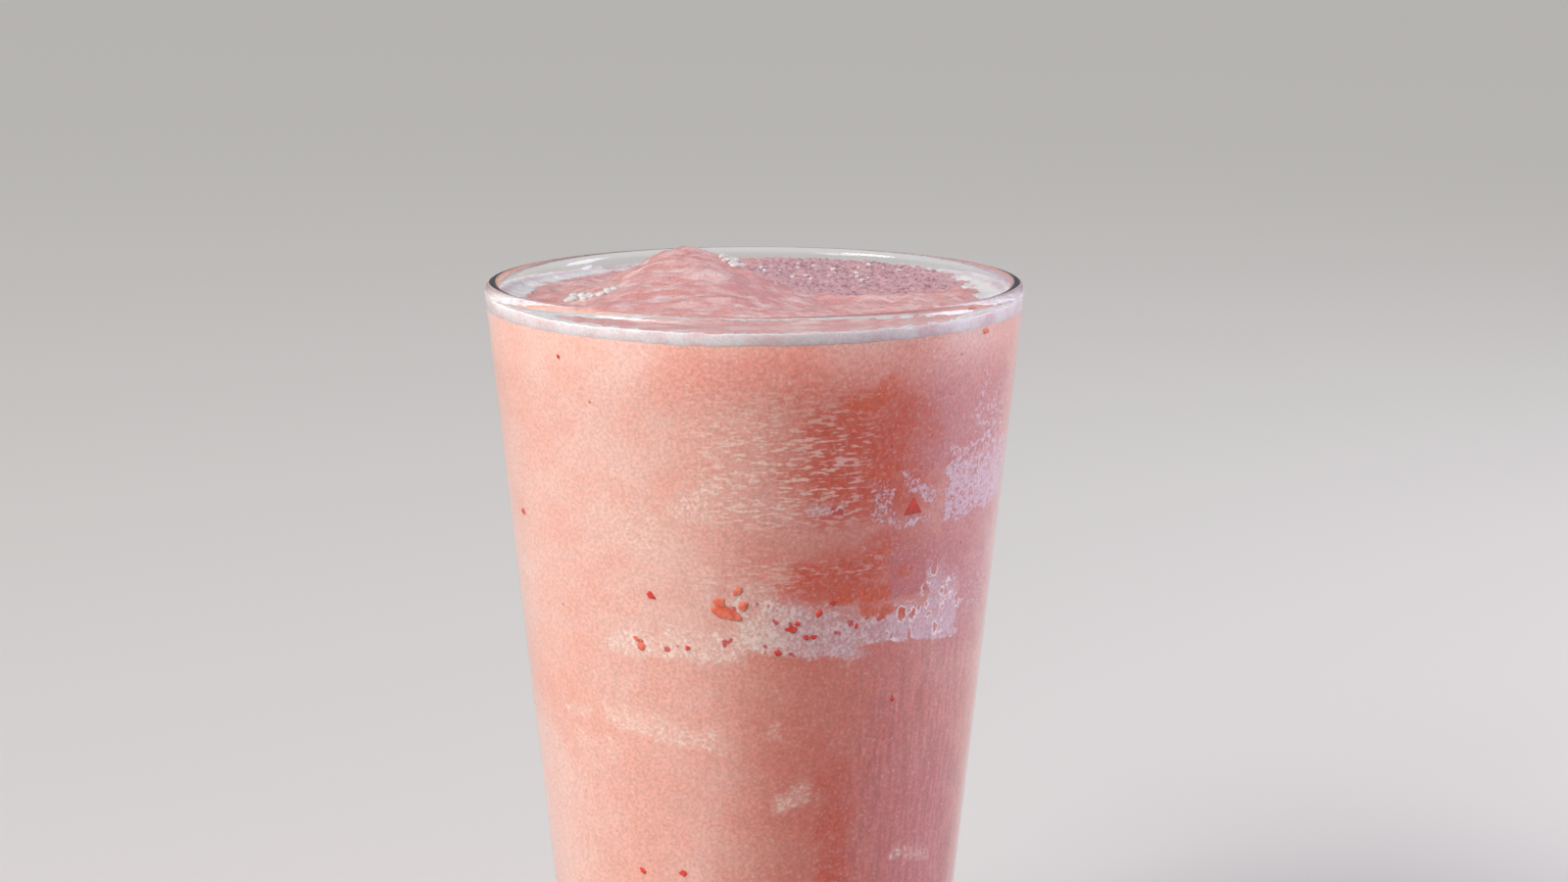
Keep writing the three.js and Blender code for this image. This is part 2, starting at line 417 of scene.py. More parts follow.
def pore_group():
    """Round pores of uneven size. The value is the distance to a pore's edge in mm, less than
    0 inside it."""
    tree, source, sink = open_group(
        "Foam pores",
        {"Pitch": 2.5, "Radius": 0.6, "Share": 0.6, "Stretch": (1.0, 1.0, 1.0), "Start": 0.0},
        "Value",
    )
    place = place_in_mm(tree)
    wander = node(tree, "ShaderNodeTexNoise", {"Vector": place, "Scale": 0.7, "Detail": 2.0})
    warped = node(
        tree,
        "ShaderNodeVectorMath",
        {0: wander.outputs[1], 1: (2.2, 2.2, 2.2), 2: place},
        operation="MULTIPLY_ADD",
    ).outputs[0]
    moved = node(
        tree, "ShaderNodeVectorMath", {0: warped, 1: source["Start"]}, operation="ADD"
    ).outputs[0]
    stretched = node(
        tree, "ShaderNodeVectorMath", {0: moved, 1: source["Stretch"]}, operation="DIVIDE"
    ).outputs[0]
    cells = node(
        tree,
        "ShaderNodeTexVoronoi",
        {"Vector": stretched, "Scale": sum_of(tree, "DIVIDE", 1.0, source["Pitch"])},
    ).outputs
    draws = node(tree, "ShaderNodeSeparateColor", {0: cells["Color"]}).outputs
    away = sum_of(tree, "MULTIPLY", cells["Distance"], source["Pitch"])
    size = sum_of(tree, "MULTIPLY_ADD", draws[0], 1.0, 0.45)
    size = sum_of(tree, "MULTIPLY", source["Radius"], size)
    empty = sum_of(tree, "GREATER_THAN", draws[1], source["Share"])
    size = sum_of(tree, "SUBTRACT", size, sum_of(tree, "MULTIPLY", empty, 10.0))
    tree.links.new(sum_of(tree, "SUBTRACT", away, size), sink)
    return tree


def speck_group():
    """Small round specks, one in some of the cells of a grid."""
    tree, source, sink = open_group(
        "Fruit specks",
        {"Pitch": 4.0, "Radius": 0.3, "Share": 0.5, "Start": 0.0},
        "Value",
    )
    place = place_in_mm(tree)
    moved = node(
        tree, "ShaderNodeVectorMath", {0: place, 1: source["Start"]}, operation="ADD"
    ).outputs[0]
    cells = node(
        tree,
        "ShaderNodeTexVoronoi",
        {"Vector": moved, "Scale": sum_of(tree, "DIVIDE", 1.0, source["Pitch"])},
    ).outputs
    chosen = node(tree, "ShaderNodeSeparateColor", {0: cells["Color"]}).outputs[0]
    chosen = sum_of(tree, "LESS_THAN", chosen, source["Share"])
    away = sum_of(tree, "MULTIPLY", cells["Distance"], source["Pitch"])
    core = sum_of(tree, "MULTIPLY", source["Radius"], 0.6)
    spot = ramp(tree, away, core, source["Radius"], 1.0, 0.0)
    tree.links.new(sum_of(tree, "MULTIPLY", spot, chosen), sink)
    return tree


def new_material(name):
    """A new material: returns it, its node tree and its shader."""
    material = bpy.data.materials.new(name)
    material.use_nodes = True
    tree = material.node_tree
    return material, tree, tree.nodes["Principled BSDF"]


def set_wet(shader, roughness, weight, spread, depth):
    """How dull the surface is, and how far light spreads in the body, in metres."""
    shader.inputs["Roughness"].default_value = roughness
    shader.inputs["Subsurface Weight"].default_value = weight
    shader.inputs["Subsurface Radius"].default_value = spread
    shader.inputs["Subsurface Scale"].default_value = depth


def add_bump(tree, shader, height, strength, distance):
    """Fine relief from a pattern. The distance is in metres."""
    bump = node(
        tree, "ShaderNodeBump", {"Height": height, "Strength": strength, "Distance": distance}
    ).outputs[0]
    tree.links.new(bump, shader.inputs["Normal"])


speckle = speckle_group()
wall_patch = patch_group()
foam_pores = pore_group()
fruit_specks = speck_group()


# Marks on the wall are placed by the turn from the front, in degrees to the viewer's right, and
# by the drop below the lip.

def wall_place(turn, drop):
    """The point on the inside of the wall at a turn and a drop."""
    radius = inner_radius(GLASS_HEIGHT - drop)
    angle = math.radians(turn)
    return (radius * math.sin(angle), -radius * math.cos(angle), GLASS_HEIGHT - drop)


# Patches on the wall: turn, drop of the foot, half width, rise, lean, softness of the sides and
# the foot, raggedness, strength
FROST_PATCHES = [
    (63, 34.8, 11.5, 17, 0.0, 1.0, 3.5, 0.95),
    (66, 26, 10, 20, 0.0, 3.5, 3.5, 0.62),
    (40, 30.0, 5.0, 4.4, 0.55, 1.2, 1.6, 0.8),
    (30, 33.5, 3.8, 9, 0.3, 1.6, 2.0, 0.72),
    (38, 34.6, 5.0, 2.4, -0.1, 1.0, 1.0, 0.7),
    (66, 53, 9, 14, 0.0, 4.0, 3.0, 0.5),
    (74, 33.5, 9, 12, 0.0, 4.0, 3.5, 0.6),
]
FOAM_PATCHES = [
    (11, 53.8, 12, 12, 0.12, 1.4, 2.6, 0.9),
    (27, 52.6, 7, 8, 0.05, 1.2, 2.2, 0.86),
    (-20, 54.8, 14, 7, 0.0, 1.8, 3.0, 0.62),
    (-13, 32.5, 6, 8, 0.0, 2.4, 3.0, 0.55),
    (-28, 38, 9, 12, 0.0, 4.0, 3.0, 0.4),
    (16, 31.2, 3.6, 3, 0.0, 0.7, 0.8, 0.8),
    (-70, 47, 4, 4, 0.0, 1.0, 1.6, 0.5),
]
LACE_PATCHES = [
    (45.5, 54.0, 8.0, 8.0, 0.15, 0.3, 1.8, 1.0),
    (51, 50.5, 5.5, 10, 0.5, 0.8, 2.0, 0.85),
]
FERN_PATCHES = [
    (-51, 67.5, 4.5, 3, 0.0, 1.0, 1.4, 0.8),
    (-24, 69, 12.5, 6, 0.12, 1.5, 1.6, 0.85),
    (-45, 73, 6, 4, 0.0, 1.5, 1.6, 0.5),
    (50.9, 93, 4.5, 3, 0.3, 0.8, 1.0, 0.6),
    (9.2, 79.8, 4.0, 4.4, -0.3, 0.9, 1.4, 1.0),
    (4.4, 67.8, 1.4, 5, 0.0, 0.6, 0.8, 0.8),
    (41.8, 91.4, 1.6, 3.2, 0.0, 0.6, 0.8, 1.0),
]
DASH_PATCHES = [
    (6, 32.5, 17, 26, 0.0, 4.0, 3.0, 0.9),
    (-2, 44, 12, 9, 0.0, 3.0, 3.0, 0.5),
    (16, 42, 12, 6, 0.0, 3.0, 3.0, 0.5),
]
# Partly deeper strawberry slush and partly painted shade: the tall bands at turns 21 and 22 paint
# the redder shade where the wall turns away from the key light
CORAL_AND_SHADE_PATCHES = [
    (21, 128, 30, 170, 0.0, 13.0, 4.0, 0.66),
    (16, 15, 32, 16, 0.0, 11.0, 1.5, 0.5),
    (24, 34, 21, 38, 0.0, 8.0, 4.5, 0.95),
    (20, 47, 14, 19, 0.0, 4.5, 3.0, 0.95),
    (3, 41.5, 7, 5, 0.0, 2.0, 2.0, 0.45),
    (-7, 44, 4.5, 10, 0.0, 2.0, 2.0, 0.35),
    (22, 112, 12, 68, 0.08, 6.0, 4.0, 0.92),
    (-8, 53, 6, 10, 0.0, 3.0, 2.0, 0.25),
]
PITTED_PATCHES = [
    (36, 28, 13, 19, 0.0, 4.0, 3.0, 0.85),
    (64, 30, 9, 16, 0.0, 3.0, 3.0, 0.6),
]
JUICE_PATCHES = [
    (20.5, 45.9, 2.6, 3.6, 0.0, 0.8, 1.6, 0.95),
    (29.0, 46.1, 3.4, 3.8, 0.0, 0.8, 1.6, 0.85),
    (33, 48.6, 6.0, 2.6, 0.15, 0.7, 1.5, 0.85),
    (36, 42.5, 3.0, 2.8, 0.0, 1.0, 1.5, 0.5),
    (28.0, 26.0, 3.0, 2.8, 0.0, 0.9, 1.6, 0.8),
    (25, 15.0, 4.4, 4.6, -0.4, 1.0, 1.6, 0.75),
    (42, 21.0, 4.0, 7.0, 0.3, 2.0, 2.6, 0.3),
    (30, 112, 5.0, 22.0, 0.0, 2.5, 2.6, 0.5),
]
# Painted cool shade: mauve on the right of the wall, away from the warm key and towards the cool
# fill light
COOL_SHADE_PATCHES = [
    (46, 46, 10, 14, 0.0, 0.8, 0.8, 0.7),
    (55, 26, 15, 24, 0.0, 4.0, 2.0, 0.6),
    (60, 60, 17, 60, 0.0, 8.0, 5.0, 0.6),
    (50, 126, 22, 100, 0.0, 9.0, 5.0, 0.65),
]


def placed_mask(tree, patches, edge_noise):
    """The strongest of several patches at each place."""
    mask = None
    for turn, drop, width, rise, lean, softness, ragged, strength in patches:
        angle = math.radians(turn)
        one = use_group(
            tree,
            wall_patch,
            facing=(math.sin(angle), -math.cos(angle), 0),
            sideways=(math.cos(angle), math.sin(angle), 0),
            foot=GLASS_HEIGHT - drop,
            width=width,
            rise=rise,
            lean=lean,
            softness=softness,
            ragged=ragged,
            noise=edge_noise,
        )
        one = share_of(tree, one, strength)
        mask = one if mask is None else sum_of(tree, "MAXIMUM", mask, one)
    return mask


PEACH = (0.79, 0.44, 0.37, 1)
PEACH_PALE = (0.80, 0.54, 0.49, 1)
# CORAL colours deeper strawberry slush and also painted shade
CORAL = (0.66, 0.11, 0.062, 1)
# MAUVE colours the painted cool shade on the right, and the frost's tint and pores
MAUVE = (0.58, 0.19, 0.22, 1)
FROST = (0.74, 0.58, 0.66, 1)
# Foam in two copies: in painted warm light at the left, and in painted cool shade at the right
FOAM_WARM_LIT = (0.82, 0.70, 0.65, 1)
FOAM_COOL_SHADED = (0.70, 0.54, 0.60, 1)
RIME = (0.90, 0.76, 0.70, 1)
PORE = (0.60, 0.055, 0.06, 1)
JUICE = (0.70, 0.12, 0.045, 1)
SPECK = (0.34, 0.08, 0.06, 1)
ICE_WHITE = (0.94, 0.86, 0.88, 1)
TOP_DEEP = (0.80, 0.37, 0.36, 1)
TOP_PALE = (1.0, 0.72, 0.71, 1)
TOP_ROSE = (0.80, 0.40, 0.40, 1)
TOP_MAUVE = (0.72, 0.45, 0.49, 1)
# Painted shade in the pits between grains
TOP_PIT_SHADE = (0.26, 0.10, 0.16, 1)
# The froth in two copies: painted shade where it is seen through the wall, and painted light on
# top
FROTH_SHADED_AT_WALL = (0.78, 0.76, 0.80, 1)
FROTH_SHADED_AT_WALL_DEEP = (0.72, 0.56, 0.60, 1)
FROTH_LIT_ON_TOP = (0.98, 0.96, 0.97, 1)
FROTH_LIT_ON_TOP_DEEP = (0.95, 0.84, 0.85, 1)
ICE_DIM = (0.92, 0.84, 0.82, 1)
ICE_BRIGHT = (0.97, 0.95, 0.93, 1)
FRUIT_RED_DEEP = (0.52, 0.02, 0.012, 1)
FRUIT_RED = (0.74, 0.05, 0.025, 1)
FRUIT_FLESH_DEEP = (0.70, 0.11, 0.055, 1)
FRUIT_FLESH = (0.80, 0.22, 0.13, 1)

# How far red, green and blue light spread under the surface, compared with each other
SLUSH_SPREAD = (1.0, 0.4, 0.3)
FROTH_SPREAD = (1.0, 0.7, 0.65)
ICE_SPREAD = (0.6, 0.5, 0.45)


def grainy(tree, mask, lumps, softness):
    """Turns a soft mask into grains: the stronger the mask, the more of the lumps show."""
    start = sum_of(tree, "SUBTRACT", 1.0, mask)
    grains = ramp(tree, lumps, start, sum_of(tree, "ADD", start, softness))
    return share_of(tree, grains, ramp(tree, mask, 0.0, 0.3))


def dashed(tree, colour, wide_edges):
    """Short level dashes of pale ice."""
    dashes = use_group(tree, speckle, size=0.45, stretch=(4.5, 4.5, 1), detail=1.0, start=9.0)
    region = placed_mask(tree, DASH_PATCHES, wide_edges)
    marks = share_of(tree, ramp(tree, dashes, 0.5, 0.64), region)
    return blend(tree, share_of(tree, marks, 0.7), colour, RIME)


def ferned(tree, colour, edges):
    """Smears with fern tips of pale ice."""
    ferns = placed_mask(tree, FERN_PATCHES, edges)
    tips = use_group(tree, speckle, size=0.6, stretch=(1.6, 1.6, 1), detail=3.0, start=14.0)
    tips = share_of(tree, ramp(tree, tips, 0.46, 0.66), ferns)
    colour = blend(tree, share_of(tree, ferns, 0.22), colour, RIME)
    return blend(tree, share_of(tree, tips, 0.8), colour, RIME)


def pitted(tree, colour, wide_edges, pits):
    """Small dark pores, in patches right of the front."""
    region = placed_mask(tree, PITTED_PATCHES, wide_edges)
    pores = share_of(tree, region, ramp(tree, pits, -0.15, 0.2, 1.0, 0.0))
    return blend(tree, share_of(tree, pores, 0.6), colour, PORE)


def frosted(tree, colour, edges, lumps, pits):
    """Lavender frost, grained, with mauve pores."""
    frost = placed_mask(tree, FROST_PATCHES, edges)
    grains = share_of(tree, grainy(tree, frost, lumps, 0.5), 0.95)
    colour = blend(tree, share_of(tree, frost, 0.25), colour, MAUVE)
    colour = blend(tree, grains, colour, FROST)
    pores = ramp(tree, pits, -0.1, 0.3, 1.0, 0.0)
    pores = share_of(tree, pores, ramp(tree, frost, 0.3, 0.6))
    return blend(tree, share_of(tree, pores, 0.6), colour, MAUVE)


def foamed(tree, colour, edges, lumps):
    """Foam on the pour lines: cream at the left in painted warm light, cool at the right in
    painted cool shade, with open red pores.
    """
    foam = placed_mask(tree, FOAM_PATCHES, edges)
    # Painted light and shade: the foam goes from warm at the left to cool at the right
    rightward = node(tree, "ShaderNodeSeparateXYZ", {0: place_in_mm(tree)}).outputs["X"]
    tint = blend(tree, ramp(tree, rightward, -2.0, 9.0), FOAM_WARM_LIT, FOAM_COOL_SHADED)
    tint = blend(tree, ramp(tree, lumps, 0.45, 0.9, 0.0, 0.5), tint, RIME)
    colour = blend(tree, share_of(tree, foam, 0.55), colour, tint)
    colour = blend(tree, share_of(tree, grainy(tree, foam, lumps, 0.6), 0.9), colour, tint)
    pores = use_group(tree, foam_pores, pitch=2.3, radius=0.5, share=0.6)
    pores = ramp(tree, pores, -0.12, 0.12, 1.0, 0.0)
    pores = share_of(tree, pores, ramp(tree, foam, 0.35, 0.6))
    return blend(tree, share_of(tree, pores, 0.9), colour, PORE)


def laced(tree, colour, edges, lumps):
    """A net of frost with tall holes and pale rims."""
    lace = placed_mask(tree, LACE_PATCHES, edges)
    holes = use_group(
        tree, foam_pores, pitch=2.3, radius=0.72, share=0.9, stretch=(0.8, 0.8, 1.4), start=4.0
    )
    solid = share_of(tree, lace, ramp(tree, holes, -0.1, 0.1))
    solid = share_of(tree, solid, ramp(tree, lumps, 0.1, 0.8, 0.6, 1.0))
    colour = blend(tree, solid, colour, FROST)
    rim = sum_of(tree, "ABSOLUTE", sum_of(tree, "SUBTRACT", holes, 0.16))
    rim = ramp(tree, rim, 0.06, 0.2, 1.0, 0.0)
    return blend(tree, share_of(tree, rim, ramp(tree, lace, 0.2, 0.5)), colour, ICE_WHITE)


def streaked(tree, colour, mauve):
    """Upright streaks low on the wall, strongest in the painted cool shade."""
    upright = use_group(tree, speckle, size=0.8, stretch=(1, 1, 22), detail=2.0, start=2.0)
    low = node(tree, "ShaderNodeSeparateXYZ", {0: place_in_mm(tree)}).outputs["Z"]
    full, none = GLASS_HEIGHT - STREAKS_FULL, GLASS_HEIGHT - STREAKS_FROM
    low = ramp(tree, low, full, none, 0.8, 0.0)
    low = share_of(tree, low, ramp(tree, mauve, 0.0, 0.4, 0.25, 1.0))
    streaks = ramp(tree, upright, 0.38, 0.62, 0.88, 1.10)
    return blend(tree, low, colour, blend(tree, 1.0, colour, streaks, "MULTIPLY"))


def slush_side_material():
    """The drink seen through the wall: fine ice grain, deeper strawberry patches partly in painted
    shade, painted cool shade on the right, and frost on pour lines.
    """
    material, tree, shader = new_material("strawberry_slush_side")
    clouds = use_group(tree, speckle, size=22.0, stretch=(1, 1, 0.8), detail=3.0)
    edges = use_group(tree, speckle, size=3.2, detail=4.0, start=3.0)
    edges = sum_of(tree, "MULTIPLY_ADD", edges, 4.0, -2.0)
    wide_edges = use_group(tree, speckle, size=11.0, detail=4.0, start=8.0)
    wide_edges = sum_of(tree, "MULTIPLY_ADD", wide_edges, 4.0, -2.0)
    fine = use_group(tree, speckle, size=0.5, detail=1.0)
    crystals = use_group(tree, speckle, size=0.6, detail=3.0, start=21.0)
    coarse = use_group(tree, speckle, size=1.1, stretch=(1.2, 1.2, 1.0), detail=3.0, start=5.0)
    pits = use_group(tree, foam_pores, pitch=1.5, radius=0.26, share=0.7, start=2.0)
    lumps = sum_of(tree, "MULTIPLY_ADD", coarse, 0.6, share_of(tree, fine, 0.4))
    lumps = ramp(tree, lumps, 0.3, 0.7)

    colour = blend(tree, ramp(tree, clouds, 0.35, 0.65), PEACH, PEACH_PALE)
    # Deeper strawberry slush, with painted shade in the tall bands
    coral_and_shade = placed_mask(tree, CORAL_AND_SHADE_PATCHES, wide_edges)
    mottle = sum_of(tree, "MULTIPLY_ADD", coarse, 0.5, 0.75)
    colour = blend(tree, share_of(tree, coral_and_shade, mottle), colour, CORAL)
    # Painted cool shade on the right of the wall
    mauve = placed_mask(tree, COOL_SHADE_PATCHES, edges)
    colour = blend(tree, mauve, colour, MAUVE)
    colour = dashed(tree, colour, wide_edges)
    colour = ferned(tree, colour, edges)
    colour = pitted(tree, colour, wide_edges, pits)
    colour = frosted(tree, colour, edges, lumps, pits)
    colour = foamed(tree, colour, edges, lumps)
    colour = blend(tree, placed_mask(tree, JUICE_PATCHES, edges), colour, JUICE)
    colour = laced(tree, colour, edges, lumps)
    colour = streaked(tree, colour, mauve)

    grain = ramp(tree, fine, 0.3, 0.7, 0.90, 1.09)
    colour = blend(tree, 1.0, colour, grain, "MULTIPLY")
    colour = blend(tree, ramp(tree, crystals, 0.54, 0.72, 0.0, 0.3), colour, RIME)
    colour = blend(tree, ramp(tree, crystals, 0.30, 0.46, 0.22, 0.0), colour, CORAL)
    specks = use_group(tree, fruit_specks, pitch=5.0, radius=0.32, share=0.4)
    colour = blend(tree, share_of(tree, specks, 0.7), colour, SPECK)

    tree.links.new(colour, shader.inputs["Base Color"])
    shader.inputs["Specular IOR Level"].default_value = 0.15
    set_wet(shader, 0.55, 0.3, SLUSH_SPREAD, 0.003)
    return material


def slush_top_material():
    """The open surface: paler and icier, brushed on the slope and coarse in the hollow, with
    painted shade in its pits.
    """
    material, tree, shader = new_material("strawberry_slush_top")
    fine = use_group(tree, speckle, size=0.45, detail=2.0)
    medium = use_group(tree, speckle, size=2.2, stretch=(2.2, 0.8, 1), detail=3.0)
    patches = use_group(tree, speckle, size=9.0, stretch=(1.4, 0.8, 1), detail=2.0, start=6.0)
    colour = blend(tree, ramp(tree, medium, 0.35, 0.68), TOP_DEEP, TOP_PALE)
    colour = blend(tree, ramp(tree, patches, 0.42, 0.68, 0.0, 0.6), colour, TOP_ROSE)
    grain = ramp(tree, fine, 0.3, 0.7, 0.9, 1.08)
    colour = blend(tree, 1.0, colour, grain, "MULTIPLY")
    away = node(
        tree,
        "ShaderNodeVectorMath",
        {0: place_in_mm(tree), 1: (POOL.x, POOL.y, GLASS_HEIGHT)},
        operation="DISTANCE",
    ).outputs["Value"]
    hollow = ramp(tree, away, POOL_RADIUS - POOL_COLOUR_FADE, POOL_RADIUS, 1.0, 0.0)
    colour = blend(tree, share_of(tree, hollow, 0.85), colour, TOP_MAUVE)
    lumps = use_group(tree, speckle, size=0.62, detail=2.0, stretch=(1.5, 1.5, 1), start=4.0)
    # Painted shade: dark specks in the pits between the hollow's grains
    specks = share_of(tree, ramp(tree, lumps, 0.38, 0.48, 1.0, 0.0), hollow)
    colour = blend(tree, share_of(tree, specks, 0.6), colour, TOP_PIT_SHADE)
    crystals = share_of(tree, ramp(tree, lumps, 0.6, 0.7), hollow)
    colour = blend(tree, share_of(tree, crystals, 0.6), colour, RIME)
    tree.links.new(colour, shader.inputs["Base Color"])
    add_bump(tree, shader, fine, 0.4, 0.0003)
    set_wet(shader, 0.42, 0.3, SLUSH_SPREAD, 0.002)
    return material


# The froth has its painted light inside the first radius and its painted shade at the wall outside
# the second
FROTH_INSIDE = 40.0
FROTH_OUTSIDE = 41.0


def froth_material():
    """Bright with painted light on top, and dimmer with painted shade where it is seen through the
    wall.
    """
    material, tree, shader = new_material("pale_froth")
    bubbles = use_group(tree, speckle, size=0.45, detail=2.0)
    clouds = use_group(tree, speckle, size=5.0, detail=2.0)
    clouds = ramp(tree, clouds, 0.4, 0.75)
    # Painted shade at the wall and painted light on top
    shaded_at_wall = blend(tree, clouds, FROTH_SHADED_AT_WALL, FROTH_SHADED_AT_WALL_DEEP)
    lit_on_top = blend(tree, clouds, FROTH_LIT_ON_TOP, FROTH_LIT_ON_TOP_DEEP)
    axes = node(tree, "ShaderNodeSeparateXYZ", {0: place_in_mm(tree)}).outputs
    squared = sum_of(tree, "MULTIPLY", axes["Y"], axes["Y"])
    away = sum_of(tree, "SQRT", sum_of(tree, "MULTIPLY_ADD", axes["X"], axes["X"], squared))
    colour = blend(tree, ramp(tree, away, FROTH_INSIDE, FROTH_OUTSIDE), lit_on_top, shaded_at_wall)
    grain = ramp(tree, bubbles, 0.3, 0.7, 0.9, 1.06)
    colour = blend(tree, 1.0, colour, grain, "MULTIPLY")
    tree.links.new(colour, shader.inputs["Base Color"])
    add_bump(tree, shader, bubbles, 0.3, 0.0002)
    set_wet(shader, 0.35, 0.4, FROTH_SPREAD, 0.002)
    return material


def ice_material():
    """Crumbs of ice: nearly white, wet and faintly mottled."""
    material, tree, shader = new_material("white_ice")
    fine = use_group(tree, speckle, size=0.4, detail=2.0)
    colour = blend(tree, ramp(tree, fine, 0.35, 0.65), ICE_DIM, ICE_BRIGHT)
    tree.links.new(colour, shader.inputs["Base Color"])
    set_wet(shader, 0.25, 0.3, ICE_SPREAD, 0.001)
    return material


def fruit_material(name, deep, bright):
    """Strawberry bits: mottled between two reds."""
    material, tree, shader = new_material(name)
    mottle = use_group(tree, speckle, size=1.4, detail=3.0)
    colour = blend(tree, ramp(tree, mottle, 0.35, 0.65), deep, bright)
    tree.links.new(colour, shader.inputs["Base Color"])
    shader.inputs["Roughness"].default_value = 0.4
    shader.inputs["Specular IOR Level"].default_value = 0.2
    return material


def glass_material():
    """Clear glass. For a shadow it is see-through, so that the lamps light the drink in it."""
    material, tree, shader = new_material("clear_glass")
    smudge = use_group(tree, speckle, size=9.0, detail=4.0)
    tree.links.new(ramp(tree, smudge, 0.45, 0.75, 0.0, 0.06), shader.inputs["Roughness"])
    shader.inputs["Base Color"].default_value = (0.985, 0.995, 0.99, 1)
    shader.inputs["Transmission Weight"].default_value = 1
    shader.inputs["IOR"].default_value = 1.5
    clear = node(tree, "ShaderNodeBsdfTransparent", {0: (0.97, 0.98, 0.975, 1)})
    shadow = node(tree, "ShaderNodeLightPath").outputs["Is Shadow Ray"]
    output = tree.nodes["Material Output"]
    mixed = node(
        tree, "ShaderNodeMixShader", {0: shadow, 1: shader.outputs[0], 2: clear.outputs[0]}
    )
    tree.links.new(mixed.outputs[0], output.inputs["Surface"])
    return material


# The pieces

def make_glass():
    """The glass: foot with a shallow hollow, conical wall, rounded lip and thick floor."""
    lip_z = GLASS_HEIGHT - LIP_RADIUS
    lip_centre = outer_radius(lip_z) - LIP_RADIUS
    points = curve((0, PUNT_DEPTH), (PUNT_RADIUS * 0.7, PUNT_DEPTH), (PUNT_RADIUS, 0), 16)
    points += curve(
        (FOOT_RADIUS - FOOT_EDGE, 0), (outer_radius(0), 0), (outer_radius(FOOT_EDGE), FOOT_EDGE)
    )
    for i in range(LIP_STEPS + 1):
        angle = math.pi * i / LIP_STEPS
        points.append(
            (lip_centre + LIP_RADIUS * math.cos(angle), lip_z + LIP_RADIUS * math.sin(angle))
        )
    points += reversed(cavity_profile(0, GLASS_HEIGHT - LIP_RADIUS * 1.5))
    shape = bmesh.new()
    turn_profile(shape, points, GLASS_STEPS)
    return finish_piece(shape, "glass_shell", [glass_material()], "glass")


def froth_width(angle):
    """How far the froth reaches in from the wall, with a wavy inner edge."""
    width = around(FROTH_WIDTHS, angle)
    for count, depth, start in FROTH_WAVES:
        width += depth * math.sin(count * angle + start)
    return width


def in_crevice(place):
    """Depth of the crevice under the peak's right flank, from 0 to 1."""
    line = CREVICE_TO - CREVICE_FROM
    share = min(max((place - CREVICE_FROM).dot(line) / line.length_squared, 0), 1)
    return bell((place - CREVICE_FROM - line * share).length / CREVICE_HALF_WIDTH)


def brushed(from_peak, angle, place):
    """Fine ridges that wind round the peak, as if brushed."""
    warp = 1.3 * noise.noise(Vector((place.x / 9, place.y / 9, 3)))
    ridge = noise.noise(Vector((from_peak / 1.1 + 2.5 * angle + warp, angle * 3.2, 0)))
    return BRUSHED_RELIEF * ridge


def surface_height(x, y):
    """Height of the drink's surface above the lip."""
    place = Vector((x, y))
    rim = place.length / inner_radius(GLASS_HEIGHT)
    calm = 1 - smooth(CALM_FROM, CALM_TO, rim)
    level = DRINK_LEVEL + BACK_RISE * smooth(*BACK_RISE_Y, y) * smooth(*BACK_RISE_X, x)
    away = place - PEAK
    from_peak = away.length
    angle = math.atan2(away.y, away.x)
    share = from_peak / around(PEAK_REACHES, angle)
    slope = max(1 - math.hypot(share, PEAK_ROUNDNESS), 0) / (1 - PEAK_ROUNDNESS)
    from_edge = (place - POOL).length - POOL_RADIUS
    in_pool = smooth(0, POOL_EDGE, -from_edge)
    fold = bell(abs(from_edge - POOL_FOLD_WIDTH / 3) / POOL_FOLD_WIDTH)
    ripple = math.sin(from_peak / SWIRL_PITCH * FULL_TURN + angle)
    height = level + (PEAK_TOP - level) * slope ** PEAK_FALL * (1 - POOL_CUT * in_pool)
    height -= CREVICE_DEPTH * in_crevice(place)
    height += (POOL_FOLD * fold - POOL_DEPTH * in_pool) * calm
    height += SWIRL_RELIEF * ripple * calm * (1 - in_pool)
    height += brushed(from_peak, angle, place) * (1 - in_pool)
    flow = noise.fractal(Vector((x / 4.2, y / 3.0, 11)), 0.7, 2.1, 3)
    height += FLOW_RELIEF * flow * calm
    grains = noise.fractal(Vector((x / 1.3, y / 1.6, 7)), 0.6, 2.2, 3)
    height += POOL_RELIEF * grains * in_pool
    height += GRAIN_RELIEF * noise.noise(Vector((x / 0.8, y / 0.8, 1)))
    return height


def disc_place(a, b):
    """Moves a point of a square from -1 to 1 onto the disc, ring by ring."""
    if a == 0 and b == 0:
        return 0, 0
    if abs(a) > abs(b):
        radius, angle = a, math.pi / 4 * b / a
    else:
        radius, angle = b, math.pi / 2 - math.pi / 4 * a / b
    return radius * math.cos(angle), radius * math.sin(angle)


